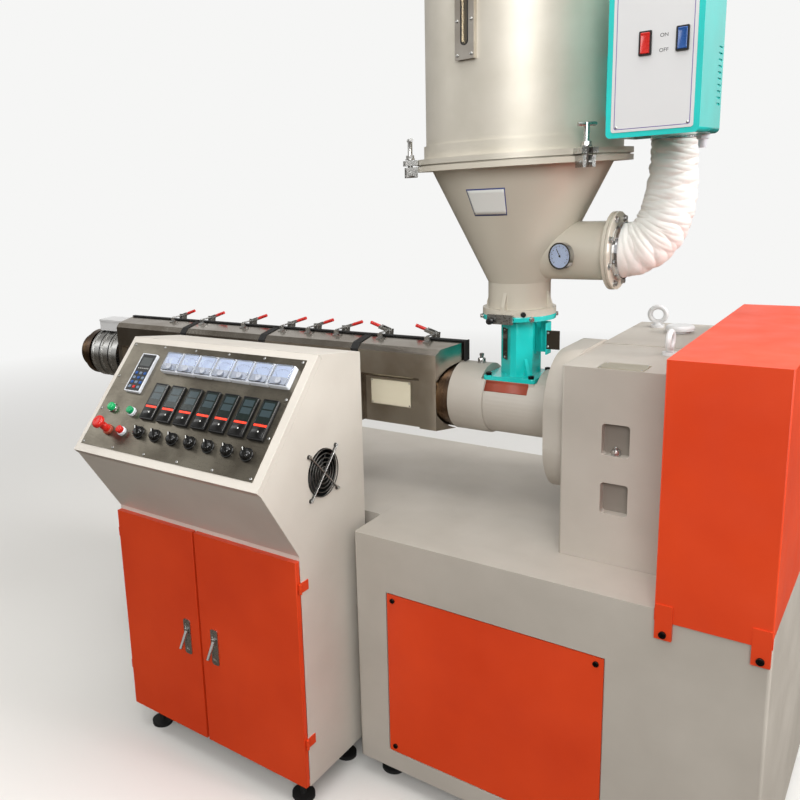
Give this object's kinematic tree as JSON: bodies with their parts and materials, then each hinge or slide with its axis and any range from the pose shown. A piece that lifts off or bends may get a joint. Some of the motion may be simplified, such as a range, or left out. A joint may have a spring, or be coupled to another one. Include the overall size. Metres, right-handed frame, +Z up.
{
  "type": "single-screw plastic extruder",
  "caption": "Single-screw plastic extruder on a welded base, with covered barrel, gearbox, belt guard, hopper dryer and a free-standing control cabinet with a sloping console.",
  "frame": {"origin": "centre of the part's footprint on the floor", "axes": "+X runs along the screw from the die to the drive, +Y points from the operator's side to the far side, +Z is up"},
  "size_m": [2.63, 1.289, 2.4783],
  "materials": {
    "machine_grey": "satin grey paint on welded and cast steel",
    "orange_paint": "satin orange powder coat",
    "black_rubber": "matt black rubber",
    "white_paint": "satin white paint",
    "bare_plate": "plain anodised sheet",
    "barrel_steel": "heat-tinted nitrided steel",
    "stainless": "bright stainless sheet",
    "zinc_steel": "bright zinc plate",
    "bronze": "heat-tinted steel",
    "teal_paint": "glossy teal enamel",
    "dark_glass": "smoked sight strip",
    "hopper_paint": "satin cream paint",
    "dial_steel": "polished steel",
    "cabinet_paint": "satin off-white powder coat",
    "black_plastic": "matt black moulding",
    "white_plastic": "glossy pale moulding",
    "red_plastic": "glossy red moulding"
  },
  "bodies": {
    "machine": {"base_rear": "machine_grey", "base_front": "machine_grey", "access_panels": "orange_paint", "feet": "black_rubber", "belt_guard": "orange_paint", "gearbox": "machine_grey", "output_housing": "machine_grey", "lifting_eyes": "white_paint", "breather": "white_paint", "bare_plates": "bare_plate", "feed_housing": "machine_grey", "barrel": "barrel_steel", "covers_near": "stainless", "covers_far": "stainless", "cover_seals": "black_rubber", "toggle_clamps": "zinc_steel", "clamp_grips": "red_plastic", "barrel_supports": "machine_grey", "die_adapter": "bronze", "die_heater": "zinc_steel", "terminal_boxes": "white_paint", "hopper_stand": "teal_paint", "sight_strip": "dark_glass", "drain_chute": "teal_paint", "hopper_cone": "hopper_paint", "hopper_barrel": "hopper_paint", "hopper_lid": "hopper_paint", "hopper_clamps": "zinc_steel", "level_window": "stainless", "thermometer": "dial_steel", "hot_air_elbow": "white_paint", "heater_tube": "hopper_paint", "blower": "hopper_paint", "dryer_box": "teal_paint", "dryer_switches": "white_paint", "cabinet_sides": "cabinet_paint", "cabinet_back": "cabinet_paint", "cabinet_floor": "cabinet_paint", "console_hood": "cabinet_paint", "console_plate": "stainless", "ammeters": "white_plastic", "controllers": "black_plastic", "knobs": "black_plastic", "keypad": "white_plastic", "push_buttons": "red_plastic", "fan_grille": "dial_steel", "cooling_fan": "black_plastic", "door_hinges": "orange_paint"},
    "left_door": {"door_left": "orange_paint", "latch_left": "zinc_steel"},
    "right_door": {"door_right": "orange_paint", "latch_right": "zinc_steel"},
    "gate": {"slide_gate": "zinc_steel"},
    "fan": {"fan_rotor": "black_plastic"}
  },
  "joints": [
    {"name": "door_left_hinge", "type": "hinge", "parent": "machine", "child": "left_door", "pos_m": [-0.46, -0.4935, 0.085], "axis": [0, 0, -1], "range_deg": [0, 110]},
    {"name": "door_right_hinge", "type": "hinge", "parent": "machine", "child": "right_door", "pos_m": [0.266, -0.4935, 0.085], "axis": [0, 0, 1], "range_deg": [0, 110]},
    {"name": "gate_slide", "type": "slide", "parent": "machine", "child": "gate", "axis": [0, -1, 0], "range_m": [0, 0.09]},
    {"name": "fan_spin", "type": "hinge", "parent": "machine", "child": "fan", "pos_m": [0.235, -0.363, 0.99], "axis": [1, 0, 0], "continuous": true}
  ]
}
